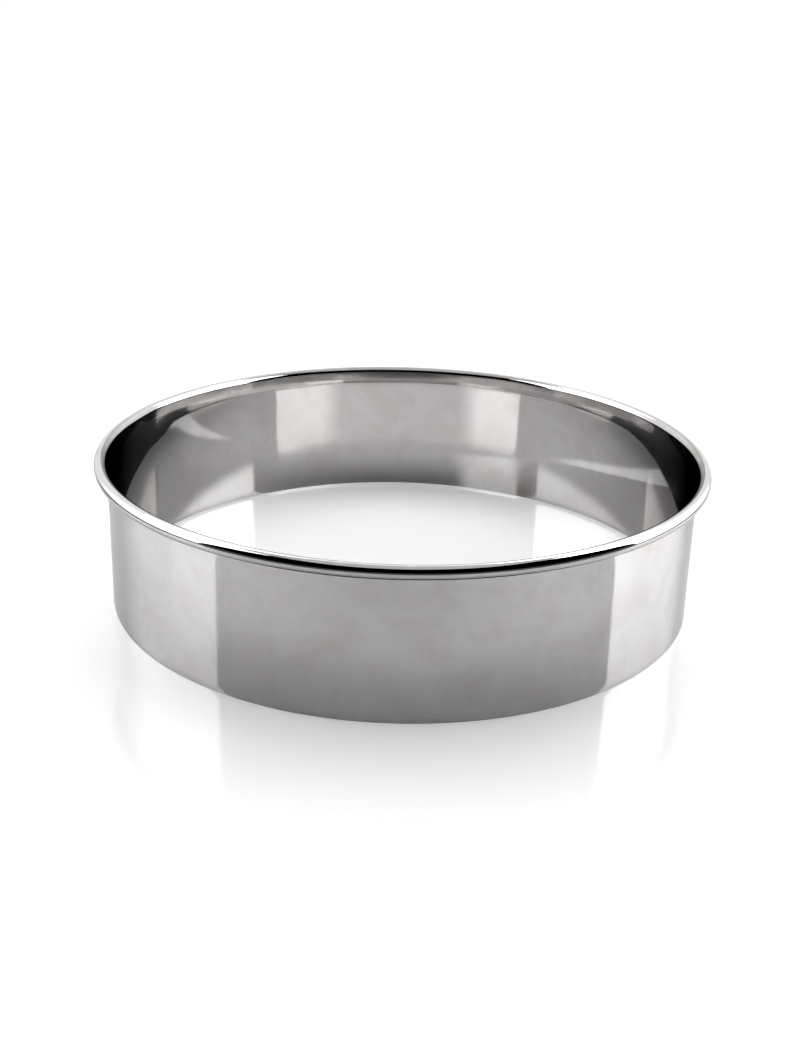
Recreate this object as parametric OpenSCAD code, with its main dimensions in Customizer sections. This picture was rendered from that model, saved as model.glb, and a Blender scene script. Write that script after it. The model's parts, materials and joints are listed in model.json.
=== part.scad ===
// Pastry ring: a hoop of thin bright sheet, its top edge rolled outward round a wire.
// Millimetres, +Z up. The origin is on the ring's axis, in the plane of the lower edge.

/* [Band] */
// Diameter over the outside of the wall
band_od = 240; // [120:1:320]
// Height of the ring, from the lower edge to the top of the rolled rim
ring_h = 60.5; // [25:0.5:100]
// Thickness of the sheet
sheet_t = 0.5; // [0.4:0.1:1]
// Chamfer that breaks both corners of the lower edge
edge_break = 0.1; // [0.05:0.01:0.15]

/* [Rolled rim] */
// Diameter of the wire inside the rim
wire_d = 4; // [2:0.1:6]
// Room between the wire and the sheet rolled round it
wire_clearance = 0.05; // [0.02:0.01:0.2]
// Gap between the free edge of the rolled sheet and the wall
curl_gap = 0.3; // [0.1:0.05:0.6]
// Gap between the two butted ends of the wire
wire_end_gap = 0.8; // [0.3:0.1:5]
// Direction of the gap in the wire, in degrees round from +X
wire_gap_angle = 67; // [0:1:359]

/* [Seam] */
// Direction of the welded seam, in degrees round from +X
seam_angle = 157; // [0:1:359]
// Width of the weld, measured round the hoop
weld_w = 2.5; // [1:0.1:5]
// How far the middle of the weld stands out from the wall
weld_crown = 0.05; // [0.02:0.01:0.2]

/* [Hidden] */
$fn = 180;

// Wall
band_or = band_od / 2;
band_ir = band_or - sheet_t;

// Rolled rim: the inner face of the wall runs on over the top and becomes the outside of the bead
wire_r = wire_d / 2;
hollow_r = wire_r + wire_clearance;
bead_r = hollow_r + sheet_t;
bead_x = band_ir + bead_r;
bead_z = ring_h - bead_r;
curl_end = -acos((curl_gap - hollow_r) / bead_r);
mouth_reach = 2 * bead_r;

// Seam
weld_half = asin(weld_w / 2 / band_ir);

// Crown of the weld: an arc that meets the wall's outside just within the weld's two edges
crown_share = 0.85;
root_share = 0.95;
crown_half = asin(crown_share * sin(weld_half));
crown_half_w = band_or * sin(crown_half);
crown_rise = band_or + weld_crown - band_or * cos(crown_half);
crown_r = (crown_half_w * crown_half_w + crown_rise * crown_rise) / (2 * crown_rise);
crown_x = band_or + weld_crown - crown_r;
crown_root = band_or - sheet_t / 2;
crown_foot = 2 * edge_break;
crown_top = bead_z - bead_r;

// Gap in the wire
wire_gap_half = asin(wire_end_gap / 2 / bead_x);

function polar(r, a) = [r * cos(a), r * sin(a)];

// Wall in section: radius along X, height along Y, with both lower corners broken
module wall_section() {
    polygon([
        [band_ir + edge_break, 0],
        [band_or - edge_break, 0],
        [band_or, edge_break],
        [band_or, bead_z],
        [band_ir, bead_z],
        [band_ir, edge_break]
    ]);
}

// Rolled sheet in section: a ring, open below where its free edge stops short of the wall
module curl_section() {
    translate([bead_x, bead_z])
        difference() {
            circle(r = bead_r);
            circle(r = hollow_r);
            polygon([
                [0, 0],
                polar(mouth_reach, curl_end),
                [-mouth_reach, mouth_reach * sin(curl_end)],
                [-mouth_reach, 0]
            ]);
        }
}

module sheet_section() {
    wall_section();
    curl_section();
}

// The hoop, less the width of the weld
module band() {
    color("silver")
        rotate([0, 0, seam_angle + weld_half])
            rotate_extrude(angle = 360 - 2 * weld_half)
                sheet_section();
}

// A single wire, bent round until its ends almost meet
module rim_wire() {
    color("dimgray")
        rotate([0, 0, wire_gap_angle + wire_gap_half])
            rotate_extrude(angle = 360 - 2 * wire_gap_half)
                translate([bead_x, bead_z])
                    circle(r = wire_r);
}

// Low rounded crown of the weld, seen from above, with its root inside the sheet
module crown_plan() {
    intersection() {
        translate([crown_x, 0])
            circle(r = crown_r);
        translate([crown_root, -root_share * weld_w / 2])
            square([weld_w, root_share * weld_w]);
    }
}

// Weld that closes the hoop: flush inside and over the bead, slightly crowned outside
module seam_weld() {
    color("gainsboro")
        rotate([0, 0, seam_angle]) {
            rotate([0, 0, -weld_half])
                rotate_extrude(angle = 2 * weld_half)
                    sheet_section();
            translate([0, 0, crown_foot])
                linear_extrude(height = crown_top - crown_foot)
                    crown_plan();
        }
}

band();
rim_wire();
seam_weld();
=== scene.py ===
"""Pastry ring: a hoop of bright sheet with a wired, rolled rim and a welded seam, on a pale floor.

Metres, +Z up. The origin is on the ring's axis, in the plane that the lower edge stands on.
"""

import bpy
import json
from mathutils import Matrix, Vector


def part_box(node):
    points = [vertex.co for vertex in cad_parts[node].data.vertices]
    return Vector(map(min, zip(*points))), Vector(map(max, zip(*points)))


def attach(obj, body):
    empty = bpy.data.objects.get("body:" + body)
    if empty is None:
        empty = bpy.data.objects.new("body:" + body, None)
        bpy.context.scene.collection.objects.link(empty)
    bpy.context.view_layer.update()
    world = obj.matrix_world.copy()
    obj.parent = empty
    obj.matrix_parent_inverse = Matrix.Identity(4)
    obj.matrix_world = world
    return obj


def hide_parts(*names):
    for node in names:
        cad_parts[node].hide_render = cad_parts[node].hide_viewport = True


bl_info = {
    "name": "Pastry Ring",
    "version": (1, 0, 0),
    "blender": (4, 5, 0),
    "location": "3D View > Sidebar > Pastry Ring",
    "description": "Builds a pastry ring with a wired rim, its polished steel and its studio",
    "category": "Add Mesh",
}

import json
import math

import bmesh
import bpy
from bpy.props import FloatProperty, FloatVectorProperty, IntProperty, PointerProperty
from mathutils import Matrix, Vector

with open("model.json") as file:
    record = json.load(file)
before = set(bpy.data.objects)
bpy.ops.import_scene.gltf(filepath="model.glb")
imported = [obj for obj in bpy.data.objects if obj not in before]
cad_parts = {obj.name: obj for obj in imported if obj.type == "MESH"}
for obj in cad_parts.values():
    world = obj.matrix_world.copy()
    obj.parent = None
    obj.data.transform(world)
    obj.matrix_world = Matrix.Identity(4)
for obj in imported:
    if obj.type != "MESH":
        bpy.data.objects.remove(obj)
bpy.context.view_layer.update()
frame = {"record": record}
BODY = "root"

# Sizes that the frame gives
MOUNTS = {mount["name"]: mount for mount in frame["record"]["mounts"]}
INNER_R = MOUNTS["inner_wall"]["dims"]["r_mm"] / 1000
SHEET_T = 2 * (MOUNTS["base_edge"]["pos_m"][0] - INNER_R)
WIRE_LOW, WIRE_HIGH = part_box("rim_wire")
RING_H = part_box("band")[1].z
WIRE_R = (WIRE_HIGH.z - WIRE_LOW.z) / 2
BEAD_Z = (WIRE_HIGH.z + WIRE_LOW.z) / 2
BEAD_R = RING_H - BEAD_Z

MM = 0.001
TURN = 2 * math.pi


def length(name, description, default, low, high):
    """A size property in metres, shown in the scene's own units; its limits are in millimetres."""
    return FloatProperty(
        name=name, description=description, default=default,
        min=low * MM, max=high * MM, precision=5, unit="LENGTH",
    )


def angle(name, description, degrees):
    return FloatProperty(
        name=name, description=description, default=math.radians(degrees), subtype="ANGLE"
    )


def strength(name, description, default):
    """The strength of a light or card; 1 is white."""
    return FloatProperty(name=name, description=description, default=default, min=0, max=8)


def share(name, description, default):
    return FloatProperty(
        name=name, description=description, default=default, min=0, max=1, subtype="FACTOR"
    )


def colour(name, description, default):
    return FloatVectorProperty(
        name=name, description=description, default=default, size=3, min=0, max=1, subtype="COLOR"
    )


class RingSizes(bpy.types.PropertyGroup):
    """Sizes of the hoop, its rolled rim and its seam."""

    inner_r: length("Inner radius", "Radius of the inside of the wall", INNER_R, 60, 160)
    height: length("Height", "From the lower edge to the top of the rolled rim", RING_H, 25, 100)
    sheet_t: length("Sheet", "Thickness of the sheet", SHEET_T, 0.4, 1)
    bead_r: length("Bead radius", "Outside radius of the rolled rim in section", BEAD_R, 1.5, 4)
    wire_r: length("Wire radius", "Radius of the wire in the rim", WIRE_R, 1, 3)
    curl_gap: length("Curl gap", "From the rolled sheet's free edge to the wall", 0.3 * MM, 0.1, 1)
    edge_r: length("Edge rounding", "Radius on the corners of the cut edges", 0.1 * MM, 0.05, 0.2)
    neck: length("Neck", "How far the wall draws in just below the rim", 0.37 * MM, 0, 0.5)
    neck_h: length("Neck height", "Height over which the wall leans out again", 6 * MM, 2, 20)
    waviness: length("Waviness", "How far the sheet strays from a true circle", 0.12 * MM, 0, 0.5)
    seam_peak: length("Seam peak", "How far the rim stands out where its ends meet", 0.4 * MM, 0, 1)
    seam_flat: length("Seam length", "How far that reaches on each side of the weld", 14 * MM, 2, 30)
    weld_w: length("Weld width", "Width of the weld, measured round the hoop", 2.5 * MM, 1, 5)
    wire_end_gap: length("Wire end gap", "Gap between the wire's butted ends", 0.8 * MM, 0.3, 5)
    seam_angle: angle("Seam direction", "Direction of the weld, round from +X", 157)
    wire_gap_angle: angle("Wire gap direction", "Direction of the wire's gap, round from +X", 67)
    steps_round: IntProperty(
        name="Steps round", description="Faces round the hoop", default=600, min=90, max=720
    )


class RingFinish(bpy.types.PropertyGroup):
    """Colours and surface of the three metals."""

    sheet: colour("Sheet outside", "Colour of the outer face and the rim", (0.61, 0.602, 0.606))
    # Painted shade: the inner face's colour and, most of all, its dark edge tint make the inside of the
    # ring darker
    inside: colour("Sheet inside", "Colour of the inner face", (0.575, 0.567, 0.567))
    wire: colour("Wire", "Colour of the drawn wire", (0.42, 0.42, 0.42))
    edge_outside: share("Edge tint outside", "Brightness of the outer face seen edge on", 0.8)
    edge_inside_shade: share("Edge tint inside", "Brightness of the inner face seen edge on", 0.05)
    polish: share("Polish", "Roughness of the sheet where it is cleanest", 0.03)
    smudge: share("Smudges", "How much the wiped smudges dull the sheet", 0.05)
    marks: share("Rolling marks", "Depth of the fine lines that run round the hoop", 0.15)


class RingStudio(bpy.types.PropertyGroup):
    """Floor, light and what the metal reflects."""

    floor: colour("Floor", "Colour of the floor", (0.97, 0.96, 0.965))
    back_light: strength("Back light", "Softbox behind and above the ring", 2.6)
    front_light: strength("Front light", "Light that falls on the floor from the front", 0.22)
    left_light: strength("Left light", "Light that falls on the floor from the left", 2.2)
    right_light: strength("Right light", "Light that falls on the floor from the right", 2.8)
    lift: share("Floor lift", "White added to the floor as the camera sees it", 0.27)
    lift_close: share("Lift beside the ring", "White added to that just outside the ring", 0.13)
    lift_far: share("Lift far off", "White added to that away from the ring", 0.6)
    # Painted shade: how far the floor is darkened in its mirror images
    second_mirror_shade: share("Second mirror", "How bright the floor stays in a second mirror", 0.35)
    # Painted light: a pool that glows on the floor in its second mirror image
    painted_pool_light: share("Second lift", "White added there to the pool of light in the ring", 0.5)
    # Painted light: a glow on the floor's front corners that only the metal sees
    painted_front_glow: share("Front shine", "White that the metal sees on the floor in front", 0.13)
    surround: strength("Surround", "White of the room as the metal mirrors it", 1.6)
    # Painted reflection: a bright spot on the floor that the foot of the back wall mirrors
    painted_foot_spot: share("Foot shine", "White that the metal sees at the back wall's foot", 0.45)
    low_mirror: share("Low mirror", "How much less the floor mirrors from low down", 0.8)
    horizon: strength("Horizon", "Dark room low down in front and beside the ring", 0.12)
    overhead: strength("Overhead card", "Grey card that hangs over the ring", 0.74)
    left_panel: strength("Left panel", "Left light panel, beside the camera", 4.0)
    right_panel: strength("Right panel", "Right light panel, beside the camera", 6.0)
    panel_end: strength("Panel end", "Both panels at their far ends", 1.3)
    left_again: strength("Left panel again", "How much brighter it is from the third mirror on", 1.65)
    right_again: strength("Right panel again", "How much brighter it is from the third mirror on", 1.15)


def add_node(tree, kind, inputs=None, **settings):
    """A new node; an input that is given a socket is linked, and any other value is set."""
    made = tree.nodes.new(kind)
    made.location.x = 180 * len(tree.nodes)
    for name, value in settings.items():
        setattr(made, name, value)
    for name, value in (inputs or {}).items():
        if isinstance(value, bpy.types.NodeSocket):
            tree.links.new(value, made.inputs[name])
        else:
            made.inputs[name].default_value = value
    return made


def math_node(tree, operation, first, second=None):
    inputs = {0: first}
    if second is not None:
        inputs[1] = second
    return add_node(tree, "ShaderNodeMath", inputs, operation=operation).outputs[0]


def vector_node(tree, operation, first, second=None):
    made = add_node(tree, "ShaderNodeVectorMath", {0: first}, operation=operation)
    if isinstance(second, bpy.types.NodeSocket):
        tree.links.new(second, made.inputs["Scale" if operation == "SCALE" else 1])
    elif second is not None:
        made.inputs["Scale" if operation == "SCALE" else 1].default_value = second
    return made.outputs[0]


def smooth_share(tree, value, edge):
    """0 before the first end of an edge, 1 after its other end."""
    return add_node(tree, "ShaderNodeMapRange", {
        "Value": value, "From Min": edge[0], "From Max": edge[1],
    }, interpolation_type="SMOOTHSTEP").outputs[0]


# Geometry: one tree sweeps a section round the hoop

SEAM_FROM = RING_H - 18 * MM
WAVES_ROUND = 4.0
WAVES_UP = 12.0
WAVE_SEED = 7.0
WALL_ROWS = 22
CURL_ROWS = 48
CORNER_ROWS = 3
WIRE_SIDES = 48
WELD_STEPS = 9
DOUBLES_WITHIN = 0.001 * MM
SMOOTH_BELOW = math.radians(40)


def sweep_tree():
    """The node tree that sweeps a flat section, drawn outward from the wall, round the hoop."""
    name = "Swept Section"
    if name in bpy.data.node_groups:
        return bpy.data.node_groups[name]
    tree = bpy.data.node_groups.new(name, "GeometryNodeTree")
    socket = tree.interface.new_socket
    socket("Geometry", in_out="INPUT", socket_type="NodeSocketGeometry")
    for size in (
        "Radius", "Start Angle", "Sweep Angle", "Waviness", "Wave Seed",
        "Seam Angle", "Seam Peak", "Seam Flat",
    ):
        socket(size, in_out="INPUT", socket_type="NodeSocketFloat")
    socket("Steps", in_out="INPUT", socket_type="NodeSocketInt")
    socket("Material", in_out="INPUT", socket_type="NodeSocketMaterial")
    socket("Geometry", in_out="OUTPUT", socket_type="NodeSocketGeometry")
    given = add_node(tree, "NodeGroupInput").outputs

    section = add_node(tree, "GeometryNodeMeshToCurve", {"Mesh": given["Geometry"]})
    path = add_node(tree, "GeometryNodeCurveArc", {
        "Resolution": given["Steps"],
        "Radius": given["Radius"],
        "Start Angle": given["Start Angle"],
        "Sweep Angle": given["Sweep Angle"],
    })
    level = add_node(tree, "GeometryNodeSetCurveNormal", {"Curve": path.outputs["Curve"]}, mode="Z_UP")
    hoop = add_node(tree, "GeometryNodeCurveToMesh", {
        "Curve": level.outputs[0],
        "Profile Curve": section.outputs[0],
        "Fill Caps": True,
    })

    place = add_node(tree, "GeometryNodeInputPosition").outputs[0]
    radial = vector_node(tree, "NORMALIZE", vector_node(tree, "MULTIPLY", place, (1, 1, 0)))

    # Slow waves round the sheet, taller than they are long
    upright = vector_node(tree, "MULTIPLY", place, (0, 0, WAVES_UP))
    wave_place = vector_node(tree, "ADD", vector_node(tree, "SCALE", radial, WAVES_ROUND), upright)
    noise = add_node(tree, "ShaderNodeTexNoise", {
        "Vector": wave_place,
        "W": given["Wave Seed"],
        "Scale": 1.0,
        "Detail": 1.0,
    }, noise_dimensions="4D").outputs[0]
    wave = math_node(tree, "MULTIPLY", math_node(tree, "SUBTRACT", noise, 0.5), given["Waviness"])

    # The rolled rim stands out a little where its two ends meet at the weld
    turned = add_node(tree, "ShaderNodeVectorRotate", {
        "Vector": place,
        "Angle": math_node(tree, "MULTIPLY", given["Seam Angle"], -1.0),
    }, rotation_type="Z_AXIS").outputs[0]
    beside = add_node(tree, "ShaderNodeSeparateXYZ", {0: turned}).outputs
    away = math_node(tree, "DIVIDE", math_node(tree, "ABSOLUTE", beside["Y"]), given["Seam Flat"])
    near = math_node(tree, "MAXIMUM", math_node(tree, "SUBTRACT", 1.0, away), 0.0)
    near = math_node(tree, "MULTIPLY", near, math_node(tree, "GREATER_THAN", beside["X"], 0.0))
    rounded = smooth_share(tree, near, (0, 1))
    raised = smooth_share(tree, beside["Z"], (SEAM_FROM, RING_H))
    ridge = math_node(tree, "MULTIPLY", math_node(tree, "MULTIPLY", rounded, raised), given["Seam Peak"])

    offset = vector_node(tree, "SCALE", radial, math_node(tree, "ADD", wave, ridge))
    moved = add_node(tree, "GeometryNodeSetPosition", {"Geometry": hoop.outputs[0], "Offset": offset})
    whole = add_node(tree, "GeometryNodeRealizeInstances", {"Geometry": moved.outputs[0]})
    done = add_node(tree, "GeometryNodeSetMaterial", {
        "Geometry": whole.outputs[0],
        "Material": given["Material"],
    })
    add_node(tree, "NodeGroupOutput", {0: done.outputs[0]})
    return tree


def sweep(name, outline, material, start, sweep_angle, steps, sizes):
    """A closed mesh piece: an outline of (outward, up) points, swept round the hoop."""
    drawn = bpy.data.meshes.new(name)
    count = len(outline)
    drawn.from_pydata(
        [(out, -up, 0) for out, up in outline], [(i, (i + 1) % count) for i in range(count)], []
    )
    piece = bpy.data.objects.new(name, drawn)
    bpy.context.scene.collection.objects.link(piece)
    tree = sweep_tree()
    modifier = piece.modifiers.new("sweep", "NODES")
    modifier.node_group = tree
    values = {
        "Radius": sizes.inner_r,
        "Start Angle": start,
        "Sweep Angle": sweep_angle,
        "Waviness": sizes.waviness,
        "Wave Seed": WAVE_SEED,
        "Seam Angle": sizes.seam_angle,
        "Seam Peak": sizes.seam_peak,
        "Seam Flat": sizes.seam_flat,
        "Steps": steps,
        "Material": material,
    }
    for item in tree.interface.items_tree:
        if item.in_out == "INPUT" and item.name in values:
            modifier[item.identifier] = values[item.name]
    made = bpy.data.meshes.new_from_object(piece.evaluated_get(bpy.context.evaluated_depsgraph_get()))
    piece.modifiers.remove(modifier)
    piece.data = made
    made.name = name
    bpy.data.meshes.remove(drawn)
    close_and_smooth(made)
    return piece


def close_and_smooth(mesh):
    """Merges doubles, turns the faces outward and shades the mesh smooth up to its real corners."""
    work = bmesh.new()
    work.from_mesh(mesh)
    bmesh.ops.remove_doubles(work, verts=work.verts, dist=DOUBLES_WITHIN)
    bmesh.ops.recalc_face_normals(work, faces=work.faces)
    work.to_mesh(mesh)
    work.free()
    mesh.shade_smooth()
    mesh.set_sharp_from_angle(angle=SMOOTH_BELOW)


def spread(first, last, count):
    """Count + 1 values evenly from first to last."""
    return [first + (last - first) * i / count for i in range(count + 1)]


def sheet_path(sizes, along, aside):
    """A point of the rolled strip, (outward, up) from the foot of the inner wall.

    along runs from the lower edge up the wall and round the rim, in metres on the strip's middle;
    aside is the distance from that middle, positive towards the inside of the hoop.
    """
    bead_z = sizes.height - sizes.bead_r
    middle_r = sizes.bead_r - sizes.sheet_t / 2
    if along <= bead_z:
        lean = max(0.0, 1 - (bead_z - along) / sizes.neck_h)
        foot = max(0.0, 1 - along / (bead_z - sizes.neck_h)) if lean == 0 else 0.0
        draw_in = sizes.neck * (1 - lean * lean) * (1 - foot)
        return (sizes.sheet_t / 2 - aside - draw_in, along)
    turn = math.pi - (along - bead_z) / middle_r
    reach = middle_r + aside
    return (sizes.bead_r + reach * math.cos(turn), bead_z + reach * math.sin(turn))


def sheet_outline(sizes):
    """Outline of the sheet in section: up its inner face, round the free edge, down its outer face."""
    bead_z = sizes.height - sizes.bead_r
    middle_r = sizes.bead_r - sizes.sheet_t / 2
    hollow_r = sizes.bead_r - sizes.sheet_t
    curl_end = -math.acos((sizes.curl_gap - hollow_r) / sizes.bead_r)
    top = bead_z + middle_r * (math.pi - curl_end)
    half = sizes.sheet_t / 2
    round_r = sizes.edge_r
    rows = spread(round_r, bead_z, WALL_ROWS) + spread(bead_z, top - round_r, CURL_ROWS)[1:]
    inner_face = [(along, half) for along in rows]
    outer_face = [(along, -half) for along in reversed(rows)]

    def corner(centre_along, centre_aside, first):
        """Points of a quarter turn between two faces, without its two ends."""
        return [
            (centre_along + round_r * math.cos(turn), centre_aside + round_r * math.sin(turn))
            for turn in spread(first, first - math.pi / 2, CORNER_ROWS)[1:-1]
        ]

    flat = half - round_r
    free_edge = corner(top - round_r, flat, math.pi / 2) + [(top, flat), (top, -flat)]
    free_edge += corner(top - round_r, -flat, 0)
    cut_edge = corner(round_r, -flat, -math.pi / 2) + [(0, -flat), (0, flat)]
    cut_edge += corner(round_r, flat, math.pi)
    whole = inner_face + free_edge + outer_face + cut_edge
    return [sheet_path(sizes, along, aside) for along, aside in whole]


# Surface effects shared by the metals

INSIDE_BELOW = -0.1
STAIN = (0.88, 0.87, 0.84, 1)
SMUDGE_NOISE = {"Scale": 1.0, "Detail": 6.0, "Roughness": 0.68, "Distortion": 0.8}
SMUDGE_RANGE = (0.42, 0.72)
SMUDGE_SIZE = 16 * MM
SMUDGE_SEED = 3.0
LINE_DETAIL = 3.0
WIRE_ROUGHNESS = 0.25
WELD_ROUGHNESS = 0.06

# Drawn lines of each metal: distance between them upright, length round the hoop, and depth
SHEET_LINES = (0.6 * MM, 30 * MM, 0.01 * MM)
WIRE_LINES = (0.2 * MM, 10 * MM, 0.03 * MM)
WELD_LINES = (20 * MM, 0.3 * MM, 0.01 * MM)
WIRE_MARKS = 0.3
WELD_MARKS = 0.2


def effect_group(name, numbers, outputs):
    """A new shader node group with number inputs and their defaults; returns it and its input sockets."""
    tree = bpy.data.node_groups.new(name, "ShaderNodeTree")
    for label, default in numbers.items():
        made = tree.interface.new_socket(label, in_out="INPUT", socket_type="NodeSocketFloat")
        made.default_value = default
    for label in outputs:
        tree.interface.new_socket(label, in_out="OUTPUT", socket_type="NodeSocketFloat")
    given = add_node(tree, "NodeGroupInput").outputs
    place = add_node(tree, "ShaderNodeTexCoord").outputs["Object"]
    return tree, given, place


def smudges_group():
    """Soft clouds where the sheet has been handled and wiped: 0 is clean, 1 is dull."""
    name = "Wiped Smudges"
    if name in bpy.data.node_groups:
        return bpy.data.node_groups[name]
    tree, given, place = effect_group(name, {"Size": 30 * MM, "Seed": 0.0}, ("Mask",))
    scaled = vector_node(tree, "SCALE", place, math_node(tree, "DIVIDE", 1.0, given["Size"]))
    clouds = add_node(tree, "ShaderNodeTexNoise", {
        "Vector": scaled, "W": given["Seed"], **SMUDGE_NOISE,
    }, noise_dimensions="4D").outputs[0]
    low, high = SMUDGE_RANGE
    mask = add_node(tree, "ShaderNodeMapRange", {"Value": clouds, "From Min": low, "From Max": high})
    add_node(tree, "NodeGroupOutput", {"Mask": mask.outputs[0]})
    return tree


def lines_group():
    """Fine drawn lines that run round the hoop, level with its edges: 0 to 1."""
    name = "Drawn Lines"
    if name in bpy.data.node_groups:
        return bpy.data.node_groups[name]
    tree, given, place = effect_group(name, {"Spacing": 0.4 * MM, "Length": 20 * MM}, ("Height",))
    parts = add_node(tree, "ShaderNodeSeparateXYZ", {0: place}).outputs
    along = math_node(tree, "DIVIDE", 1.0, given["Length"])
    across = math_node(tree, "DIVIDE", 1.0, given["Spacing"])
    stretched = add_node(tree, "ShaderNodeCombineXYZ", {
        0: math_node(tree, "MULTIPLY", parts["X"], along),
        1: math_node(tree, "MULTIPLY", parts["Y"], along),
        2: math_node(tree, "MULTIPLY", parts["Z"], across),
    }).outputs[0]
    lines = add_node(tree, "ShaderNodeTexNoise", {
        "Vector": stretched, "Scale": 1.0, "Detail": LINE_DETAIL,
    })
    add_node(tree, "NodeGroupOutput", {"Height": lines.outputs[0]})
    return tree


def group_node(tree, group, **numbers):
    made = add_node(tree, "ShaderNodeGroup", node_tree=group)
    for label, value in numbers.items():
        made.inputs[label].default_value = value
    return made.outputs


def inside_mask(tree):
    """1 where the surface faces the hoop's axis, 0 where it faces outward."""
    place = add_node(tree, "ShaderNodeTexCoord").outputs
    level = vector_node(tree, "MULTIPLY", place["Object"], (1, 1, 0))
    facing = add_node(tree, "ShaderNodeVectorMath", {
        0: place["Normal"], 1: vector_node(tree, "NORMALIZE", level),
    }, operation="DOT_PRODUCT")
    return math_node(tree, "LESS_THAN", facing.outputs["Value"], INSIDE_BELOW)


def two_faces(tree, shader, finish, smudge=0.0):
    """Gives the outer and the inner face their own colours, seen squarely and seen edge on; the inner
    face's darker colours are painted shade inside the ring, most of all seen edge on.
    """
    inside = inside_mask(tree)
    square_on = mix_colour(tree, (*finish.sheet, 1), (*finish.inside, 1), inside)
    edges = [(*(grey,) * 3, 1) for grey in (finish.edge_outside, finish.edge_inside_shade)]
    edge_on = mix_colour(tree, *edges, inside)
    stained = add_node(tree, "ShaderNodeMix", {
        0: 1.0, 6: square_on, 7: STAIN,
    }, data_type="RGBA", blend_type="MULTIPLY")
    tree.links.new(mix_colour(tree, square_on, stained.outputs[2], smudge), shader.inputs["Base Color"])
    # Painted shade: the inner face's dark edge tint darkens its reflections seen edge on
    tree.links.new(edge_on, shader.inputs["Specular Tint"])


def metal(name, tint, roughness, viewport_roughness):
    """A bare metal material; returns it with its tree and its Principled shader."""
    made = bpy.data.materials.new(name)
    made.use_nodes = True
    tree = made.node_tree
    shader = tree.nodes["Principled BSDF"]
    shader.inputs["Base Color"].default_value = (*tint, 1)
    shader.inputs["Metallic"].default_value = 1.0
    shader.inputs["Roughness"].default_value = roughness
    made.diffuse_color = (*tint, 1)
    made.roughness = viewport_roughness
    return made, tree, shader


def draw_lines(tree, shader, lines, amount):
    """Fine drawn lines as bump on a metal."""
    spacing, run, depth = lines
    height = group_node(tree, lines_group(), Spacing=spacing, Length=run)["Height"]
    bump = add_node(tree, "ShaderNodeBump", {"Strength": amount, "Distance": depth, "Height": height})
    tree.links.new(bump.outputs[0], shader.inputs["Normal"])


def mix_colour(tree, first, second, amount):
    made = add_node(tree, "ShaderNodeMix", data_type="RGBA")
    for socket, value in ((made.inputs[6], first), (made.inputs[7], second), (made.inputs[0], amount)):
        if isinstance(value, bpy.types.NodeSocket):
            tree.links.new(value, socket)
        else:
            socket.default_value = value
    return made.outputs[2]


def polished_sheet(finish):
    """Mirror-bright sheet with wiped smudges and faint rolling marks."""
    made, tree, shader = metal("polished_sheet", finish.sheet, finish.polish, 0.1)
    smudge = group_node(tree, smudges_group(), Size=SMUDGE_SIZE, Seed=SMUDGE_SEED)["Mask"]
    dulled = math_node(tree, "MULTIPLY", smudge, finish.smudge)
    tree.links.new(math_node(tree, "ADD", dulled, finish.polish), shader.inputs["Roughness"])
    two_faces(tree, shader, finish, smudge)
    draw_lines(tree, shader, SHEET_LINES, finish.marks)
    return made


def bright_wire(finish):
    made, tree, shader = metal("bright_wire", finish.wire, WIRE_ROUGHNESS, 0.3)
    draw_lines(tree, shader, WIRE_LINES, WIRE_MARKS)
    return made


def ground_weld(finish):
    """The sheet's own polish, with the upright marks of the grinding."""
    made, tree, shader = metal("ground_weld", finish.sheet, WELD_ROUGHNESS, 0.2)
    two_faces(tree, shader, finish)
    draw_lines(tree, shader, WELD_LINES, WELD_MARKS)
    return made


# Studio

CAMERA_PLACE = Vector((0.0, -0.5097, 0.2322))
CAMERA_DOWN = 0.38235
CAMERA_YAW = -0.00103
CAMERA_ROLL = 0.02689
CAMERA_LENS = 45.148
CAMERA_SENSOR = 36.0

# A Glossy Depth above these is a ray's second or third mirror
SECOND = 1.5
THIRD = 2.5

# Floor, and where on it the camera sees it whiter and the metal sees painted light and painted shade on
# it
FLOOR_HALF = 3.0
FLOOR_ROUGHNESS = 0.1
FLOOR_IOR = 1.5
LOW_MIRROR = (0.3, 0.6)
LIFT_RINGS = ((0.121, 0.147), (0.19, 0.5))
BACK_EDGE = (20 * MM, 45 * MM)
FRONT_EDGE = (-75 * MM, -50 * MM)
POOL_EDGE = (20 * MM, 60 * MM)
CORNER_ASIDE = (30 * MM, 150 * MM)
CORNER_FRONT = (60 * MM, 100 * MM)
SPOT_FROM = (68 * MM, 77 * MM)
SPOT_SIDES = (((-0.77, 1, 0), (59 * MM, 62 * MM)), ((1, -0.51, 0), (-33 * MM, -24 * MM)))

# Cards and lights: distances from the ring's axis in metres, bearings and heights in degrees
DOME_R = 0.95
FRONT_DARK = (-75, 88)
FLAG_HEIGHTS = (0, 64)
LEFT_PANEL = (-66.5, -160)
LEFT_PANEL_R = 0.8
RIGHT_PANEL = (77, 160)
RIGHT_PANEL_R = 0.5
PANEL_HEIGHTS = (0, 40)
PANEL_TOP = (40, 60)
HORIZON_TOP = 12
FAR_FLOOR = (-125, 120)
FAR_FLOOR_R = (0.27, 0.36, DOME_R)
OVERHEAD_H = 0.9
OVERHEAD_HALF = 0.5
OVERHEAD_Y = (-0.58, 0.6)
FADE_FROM = 0.4
FADE_TO = 0.68
BACK_BOX = ((115, 245), (45, 72))
FRONT_BOX = ((-62, 62), (25, 60))
LEFT_BOX = ((-115, -62), (15, 50))
RIGHT_BOX = ((62, 115), (15, 50))

# Attributes of a card: the share of its length, the share of the horizon's height, see-through
ALONG = "along"
UP = "up"
CLEAR = "clear"
CARD_STEPS = 24
CARD_ROWS = 6
CARD_LIFT = 0.5 * MM


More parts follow.
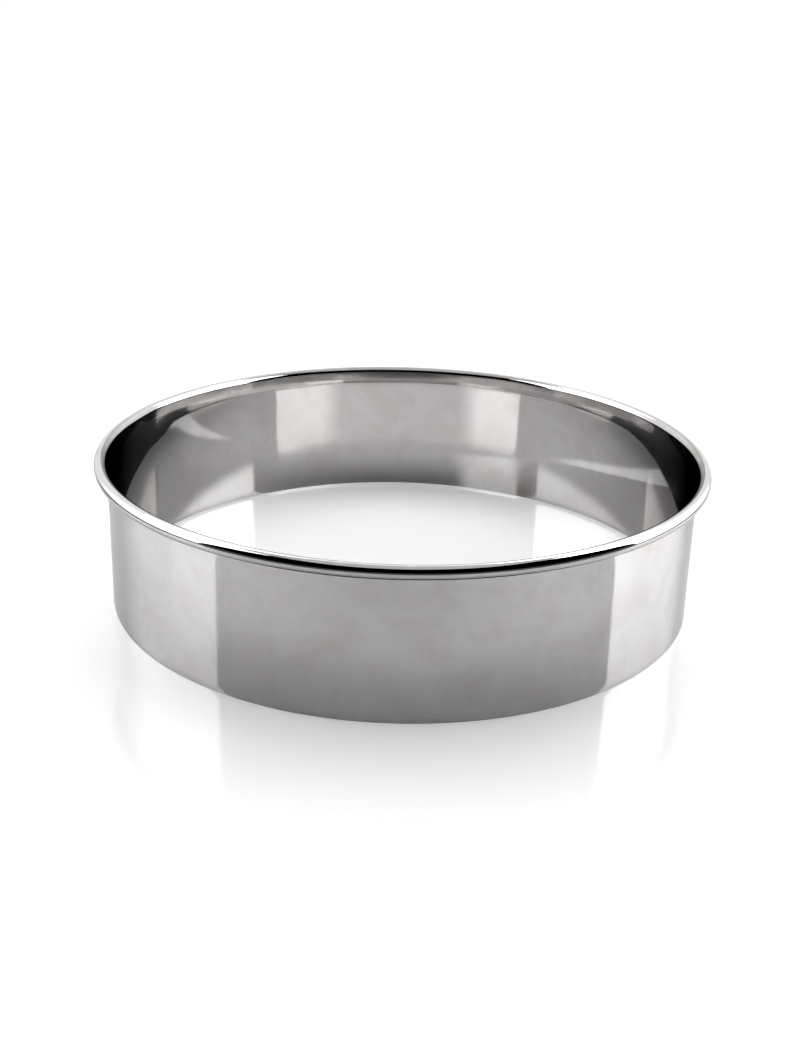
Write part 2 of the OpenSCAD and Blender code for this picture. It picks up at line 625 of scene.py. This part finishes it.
def camera():
    """The camera at the photograph's viewing angle."""
    data = bpy.data.cameras.new("camera")
    data.lens = CAMERA_LENS
    data.sensor_width = CAMERA_SENSOR
    made = bpy.data.objects.new("camera", data)
    made.location = CAMERA_PLACE
    aim = Matrix.Rotation(-CAMERA_YAW, 3, "Z") @ Matrix.Rotation(math.pi / 2 - CAMERA_DOWN, 3, "X")
    made.rotation_euler = (aim @ Matrix.Rotation(CAMERA_ROLL, 3, "Z")).to_euler()
    bpy.context.scene.collection.objects.link(made)
    bpy.context.scene.camera = made
    return made


def stage_piece(name, points, faces, material):
    mesh = bpy.data.meshes.new(name)
    mesh.from_pydata(points, [], faces)
    mesh.materials.append(material)
    made = bpy.data.objects.new(name, mesh)
    bpy.context.scene.collection.objects.link(made)
    return made


def attribute(tree, name):
    return add_node(tree, "ShaderNodeAttribute", attribute_name=name).outputs["Fac"]


def card_material(name, light, horizon=None, again=1.0):
    """Light, or black at 0, on the side that faces the ring; the back lets everything through.

    Light gives it at the card's edge beside the camera and at its other edge, and horizon does
    so at its foot. The card is again times as bright from the third mirror on.
    """
    made = bpy.data.materials.new(name)
    made.use_nodes = True
    tree = made.node_tree
    tree.nodes.clear()
    along = attribute(tree, ALONG)

    def faded(ends):
        """From the first to the second of ends along the card."""
        return add_node(tree, "ShaderNodeMapRange", {
            "Value": along,
            "From Min": FADE_FROM,
            "From Max": FADE_TO,
            "To Min": ends[0],
            "To Max": ends[1],
        }, interpolation_type="SMOOTHSTEP").outputs[0]

    level = add_node(tree, "ShaderNodeMix", {
        0: smooth_share(tree, attribute(tree, UP), (0, 1)),
        2: faded(horizon or light),
        3: faded(light),
    }).outputs[0]
    bounces = add_node(tree, "ShaderNodeLightPath").outputs["Glossy Depth"]
    deep = math_node(tree, "MULTIPLY", math_node(tree, "GREATER_THAN", bounces, THIRD), again - 1)
    seen = math_node(tree, "MULTIPLY", level, math_node(tree, "ADD", deep, 1.0))
    lit = add_node(tree, "ShaderNodeEmission", {"Strength": seen})
    clear = add_node(tree, "ShaderNodeBsdfTransparent")
    side = add_node(tree, "ShaderNodeNewGeometry").outputs["Backfacing"]
    side = math_node(tree, "MAXIMUM", side, attribute(tree, CLEAR))
    shown = add_node(tree, "ShaderNodeMixShader", {0: side, 1: lit.outputs[0], 2: clear.outputs[0]})
    add_node(tree, "ShaderNodeOutputMaterial", {"Surface": shown.outputs[0]})
    made.cycles.emission_sampling = "NONE"
    return made


def card(name, distance, bearings, heights, light, seen_by=("glossy",), horizon=None, again=1.0):
    """A curved card round the ring, out of the picture; bearings run right from the camera's side."""
    points = []
    ups = []
    for height in spread(heights[0], heights[1], CARD_ROWS):
        tilt = math.radians(height)
        for turn in spread(math.radians(bearings[0]), math.radians(bearings[1]), CARD_STEPS):
            level = distance * math.cos(tilt)
            up = distance * math.sin(tilt)
            points.append((level * math.sin(turn), -level * math.cos(turn), up))
            ups.append(height / HORIZON_TOP)
    faces = grid_faces(CARD_ROWS, CARD_STEPS)
    if bearings[1] < bearings[0]:
        faces = [face[::-1] for face in faces]
    made = stage_piece(name, points, faces, card_material(name, light, horizon, again))
    set_attribute(made, ALONG, spread(0, 1, CARD_STEPS) * (CARD_ROWS + 1))
    set_attribute(made, UP, ups)
    hide_card(made, seen_by)


def grid_faces(rows, steps):
    """Faces of a grid of rows + 1 by steps + 1 points."""
    wide = steps + 1
    return [
        (row * wide + i, (row + 1) * wide + i, (row + 1) * wide + i + 1, row * wide + i + 1)
        for row in range(rows)
        for i in range(steps)
    ]


def set_attribute(obj, name, values):
    made = obj.data.attributes.new(name, "FLOAT", "POINT")
    made.data.foreach_set("value", values)


def hide_card(obj, seen_by):
    """Keeps a card out of the picture: only reflections see it, or the floor that it lights."""
    obj.visible_camera = False
    obj.visible_glossy = "glossy" in seen_by
    obj.visible_diffuse = "diffuse" in seen_by
    obj.visible_shadow = False
    obj.visible_transmission = False
    obj.visible_volume_scatter = False


def far_floor(light):
    """Painted shade: a dark sheet lying on the floor beyond the picture's edge, as the metal mirrors it;
    its edges are soft.
    """
    turns = spread(math.radians(FAR_FLOOR[0]), math.radians(FAR_FLOOR[1]), CARD_STEPS)
    points = [
        (r * math.sin(turn), -r * math.cos(turn), CARD_LIFT)
        for r in FAR_FLOOR_R
        for turn in turns
    ]
    faces = grid_faces(len(FAR_FLOOR_R) - 1, CARD_STEPS)
    made = stage_piece("far_floor", points, faces, card_material("far_floor", (light, light)))
    row = [1.0] + [0.0] * (CARD_STEPS - 1) + [1.0]
    set_attribute(made, CLEAR, [1.0] * len(row) + row * (len(FAR_FLOOR_R) - 1))
    hide_card(made, ("glossy", "diffuse"))


def overhead_card(strength):
    """A grey card that hangs level over the ring, out of the picture."""
    near, far = OVERHEAD_Y
    points = [(x, y, OVERHEAD_H) for x, y in ((-1, near), (-1, far), (1, far), (1, near))]
    points = [(x * OVERHEAD_HALF, y, z) for x, y, z in points]
    made = card_material("overhead_card", (strength, strength))
    hide_card(stage_piece("overhead_card", points, [(0, 1, 2, 3)], made), ("glossy",))


def floor_material(studio):
    made = bpy.data.materials.new("floor")
    made.use_nodes = True
    tree = made.node_tree
    shader = tree.nodes["Principled BSDF"]
    shader.inputs["Roughness"].default_value = FLOOR_ROUGHNESS
    rays = add_node(tree, "ShaderNodeLightPath").outputs
    place = add_node(tree, "ShaderNodeTexCoord").outputs["Object"]
    distance = add_node(tree, "ShaderNodeVectorMath", {0: place}, operation="LENGTH").outputs["Value"]
    parts = add_node(tree, "ShaderNodeSeparateXYZ", {0: place}).outputs

    # Painted shade: in the mirror image of a mirror image the back of the floor and all outside the ring
    # is darkened, and from the third mirror on all of it
    twice = math_node(tree, "GREATER_THAN", rays["Glossy Depth"], SECOND)
    thrice = math_node(tree, "GREATER_THAN", rays["Glossy Depth"], THIRD)
    outside = math_node(tree, "GREATER_THAN", distance, INNER_R)
    away = math_node(tree, "MAXIMUM", smooth_share(tree, parts["Y"], BACK_EDGE), outside)
    mirror_shade = math_node(tree, "MAXIMUM", thrice, math_node(tree, "MULTIPLY", twice, away))
    painted_dimming = math_node(tree, "MULTIPLY", mirror_shade, 1 - studio.second_mirror_shade)
    tint = mix_colour(tree, (*studio.floor, 1), (0, 0, 0, 1), painted_dimming)
    tree.links.new(tint, shader.inputs["Base Color"])

    # Seen from low down the floor is nearly matt
    grazing = add_node(tree, "ShaderNodeFresnel", {"IOR": FLOOR_IOR}).outputs[0]
    matt_share = math_node(tree, "MULTIPLY", smooth_share(tree, grazing, LOW_MIRROR), studio.low_mirror)
    matt = add_node(tree, "ShaderNodeBsdfDiffuse", {"Color": tint})
    surface = add_node(tree, "ShaderNodeMixShader", {
        0: matt_share, 1: shader.outputs[0], 2: matt.outputs[0],
    }).outputs[0]

    # Painted light: a pool of light inside the ring, right of its middle, glows in the floor's second
    # mirror image
    aside = math_node(tree, "SUBTRACT", parts["X"], parts["Y"])
    right = smooth_share(tree, aside, POOL_EDGE)
    pool = math_node(tree, "MULTIPLY", smooth_share(tree, parts["Y"], FRONT_EDGE), right)
    pool = math_node(tree, "MULTIPLY", pool, math_node(tree, "SUBTRACT", twice, thrice))

    # The camera sees the floor whiter, the more so away from the ring
    white = studio.lift
    for (near, far), more in zip(LIFT_RINGS, (studio.lift_close, studio.lift_far)):
        ring = add_node(tree, "ShaderNodeMapRange", {
            "Value": distance, "From Min": near, "From Max": far, "To Max": more,
        })
        white = math_node(tree, "ADD", ring.outputs[0], white)
    shown = math_node(tree, "MULTIPLY", rays["Is Camera Ray"], white)
    shown = math_node(tree, "ADD", shown, math_node(tree, "MULTIPLY", pool, studio.painted_pool_light))

    # Painted light: the metal sees both front corners of the floor brighter, by a glow that only
    # reflections show
    wide = smooth_share(tree, math_node(tree, "ABSOLUTE", parts["X"]), CORNER_ASIDE)
    front = smooth_share(tree, math_node(tree, "MULTIPLY", parts["Y"], -1.0), CORNER_FRONT)
    corner = math_node(tree, "MULTIPLY", math_node(tree, "MULTIPLY", wide, front), rays["Is Glossy Ray"])
    shown = math_node(tree, "ADD", shown, math_node(tree, "MULTIPLY", corner, studio.painted_front_glow))

    # Painted reflection: the foot of the back wall mirrors a bright spot that glows on the floor, right
    # of its middle
    painted_spot = math_node(tree, "MULTIPLY", rays["Is Glossy Ray"], math_node(tree, "SUBTRACT", 1.0, twice))
    painted_spot = math_node(tree, "MULTIPLY", painted_spot, math_node(tree, "SUBTRACT", 1.0, outside))
    painted_spot = math_node(tree, "MULTIPLY", painted_spot, smooth_share(tree, distance, SPOT_FROM))
    for across, edge in SPOT_SIDES:
        reach = add_node(tree, "ShaderNodeVectorMath", {0: place, 1: across}, operation="DOT_PRODUCT")
        painted_spot = math_node(tree, "MULTIPLY", painted_spot, smooth_share(tree, reach.outputs["Value"], edge))
    shown = math_node(tree, "ADD", shown, math_node(tree, "MULTIPLY", painted_spot, studio.painted_foot_spot))
    # This emission holds the camera's white lift and the painted light and painted reflection above
    lift = add_node(tree, "ShaderNodeEmission", {"Strength": shown})
    both = add_node(tree, "ShaderNodeAddShader", {0: surface, 1: lift.outputs[0]})
    tree.links.new(both.outputs[0], tree.nodes["Material Output"].inputs["Surface"])
    made.cycles.emission_sampling = "NONE"
    return made


def studio_world(studio):
    world = bpy.data.worlds.new("studio")
    world.use_nodes = True
    tree = world.node_tree
    background = tree.nodes["Background"]
    background.inputs["Color"].default_value = (1, 1, 1, 1)
    rays = add_node(tree, "ShaderNodeLightPath").outputs
    mirrored = math_node(tree, "MULTIPLY", rays["Is Glossy Ray"], studio.surround)
    tree.links.new(math_node(tree, "ADD", rays["Is Camera Ray"], mirrored), background.inputs["Strength"])
    bpy.context.scene.world = world


class RING_OT_stage(bpy.types.Operator):
    """Make the floor, the light, the cards that the metal reflects and the camera"""

    bl_idname = "pastry_ring.stage"
    bl_label = "Stage"

    def execute(self, context):
        studio = context.scene.pastry_ring_studio
        context.scene.view_settings.view_transform = "Standard"
        studio_world(studio)
        corners = [(x * FLOOR_HALF, y * FLOOR_HALF, 0) for x, y in ((-1, -1), (1, -1), (1, 1), (-1, 1))]
        stage_piece("floor", corners, [(0, 1, 2, 3)], floor_material(studio))
        low = studio.horizon
        far_floor(low)
        card("front_flag", DOME_R, FRONT_DARK, FLAG_HEIGHTS, (0.0, 0.0), horizon=(low, low))
        for name, distance, bearings, light, again in (
            ("left_panel", LEFT_PANEL_R, LEFT_PANEL, studio.left_panel, studio.left_again),
            ("right_panel", RIGHT_PANEL_R, RIGHT_PANEL, studio.right_panel, studio.right_again),
        ):
            end = studio.panel_end
            card(
                name, distance, bearings, PANEL_HEIGHTS, (light, end),
                horizon=(low, end), again=again,
            )
            card(name + "_top", distance, bearings, PANEL_TOP, (light, light))
        for name, (bearings, heights), light in (
            ("back_light", BACK_BOX, studio.back_light),
            ("front_light", FRONT_BOX, studio.front_light),
            ("left_light", LEFT_BOX, studio.left_light),
            ("right_light", RIGHT_BOX, studio.right_light),
        ):
            card(name, DOME_R, bearings, heights, (light, light), ("diffuse",))
        overhead_card(studio.overhead)
        camera()
        return {"FINISHED"}


class RING_OT_band(bpy.types.Operator):
    """Make the sheet hoop with its rolled rim"""

    bl_idname = "pastry_ring.band"
    bl_label = "Band"

    def execute(self, context):
        sizes = context.scene.pastry_ring_sizes
        weld_turn = 2 * math.asin(sizes.weld_w / 2 / sizes.inner_r)
        piece = sweep(
            "hoop_sheet", sheet_outline(sizes), polished_sheet(context.scene.pastry_ring_finish),
            sizes.seam_angle + weld_turn / 2, TURN - weld_turn, sizes.steps_round, sizes,
        )
        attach(piece, BODY)
        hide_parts("band")
        return {"FINISHED"}


class RING_OT_weld(bpy.types.Operator):
    """Make the weld that closes the hoop"""

    bl_idname = "pastry_ring.weld"
    bl_label = "Weld"

    def execute(self, context):
        sizes = context.scene.pastry_ring_sizes
        weld_turn = 2 * math.asin(sizes.weld_w / 2 / sizes.inner_r)
        piece = sweep(
            "seam", sheet_outline(sizes), ground_weld(context.scene.pastry_ring_finish),
            sizes.seam_angle - weld_turn / 2, weld_turn, WELD_STEPS, sizes,
        )
        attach(piece, BODY)
        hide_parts("seam_weld")
        return {"FINISHED"}


class RING_OT_wire(bpy.types.Operator):
    """Make the wire that the rim is rolled over"""

    bl_idname = "pastry_ring.wire"
    bl_label = "Rim wire"

    def execute(self, context):
        sizes = context.scene.pastry_ring_sizes
        bead_x = sizes.inner_r + sizes.bead_r
        gap_turn = 2 * math.asin(sizes.wire_end_gap / 2 / bead_x)
        centre = (sizes.bead_r, sizes.height - sizes.bead_r)
        outline = [
            (centre[0] + sizes.wire_r * math.cos(a), centre[1] + sizes.wire_r * math.sin(a))
            for a in spread(0, TURN, WIRE_SIDES)[:-1]
        ]
        piece = sweep(
            "rolled_in_wire", outline, bright_wire(context.scene.pastry_ring_finish),
            sizes.wire_gap_angle + gap_turn / 2, TURN - gap_turn, sizes.steps_round, sizes,
        )
        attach(piece, BODY)
        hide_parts("rim_wire")
        return {"FINISHED"}


class RING_PT_panel(bpy.types.Panel):
    """Sizes, finishes and build steps of the pastry ring"""

    bl_idname = "RING_PT_panel"
    bl_label = "Pastry Ring"
    bl_space_type = "VIEW_3D"
    bl_region_type = "UI"
    bl_category = "Pastry Ring"

    def draw(self, context):
        layout = self.layout
        for title, group in PROPERTY_GROUPS.items():
            box = layout.box()
            box.label(text=title.rsplit("_", 1)[1].capitalize())
            for name in group.__annotations__:
                box.prop(getattr(context.scene, title), name)
        for step in STEPS:
            layout.operator(step.bl_idname)


PROPERTY_GROUPS = {
    "pastry_ring_sizes": RingSizes,
    "pastry_ring_finish": RingFinish,
    "pastry_ring_studio": RingStudio,
}
STEPS = (RING_OT_stage, RING_OT_band, RING_OT_weld, RING_OT_wire)
CLASSES = (*PROPERTY_GROUPS.values(), *STEPS, RING_PT_panel)


def register():
    for cls in CLASSES:
        bpy.utils.register_class(cls)
    for name, group in PROPERTY_GROUPS.items():
        setattr(bpy.types.Scene, name, PointerProperty(type=group))


def unregister():
    for name in PROPERTY_GROUPS:
        delattr(bpy.types.Scene, name)
    for cls in reversed(CLASSES):
        bpy.utils.unregister_class(cls)


def main():
    register()
    for step in STEPS:
        area, name = step.bl_idname.split(".")
        getattr(getattr(bpy.ops, area), name)()


if __name__ == "__main__":
    main()
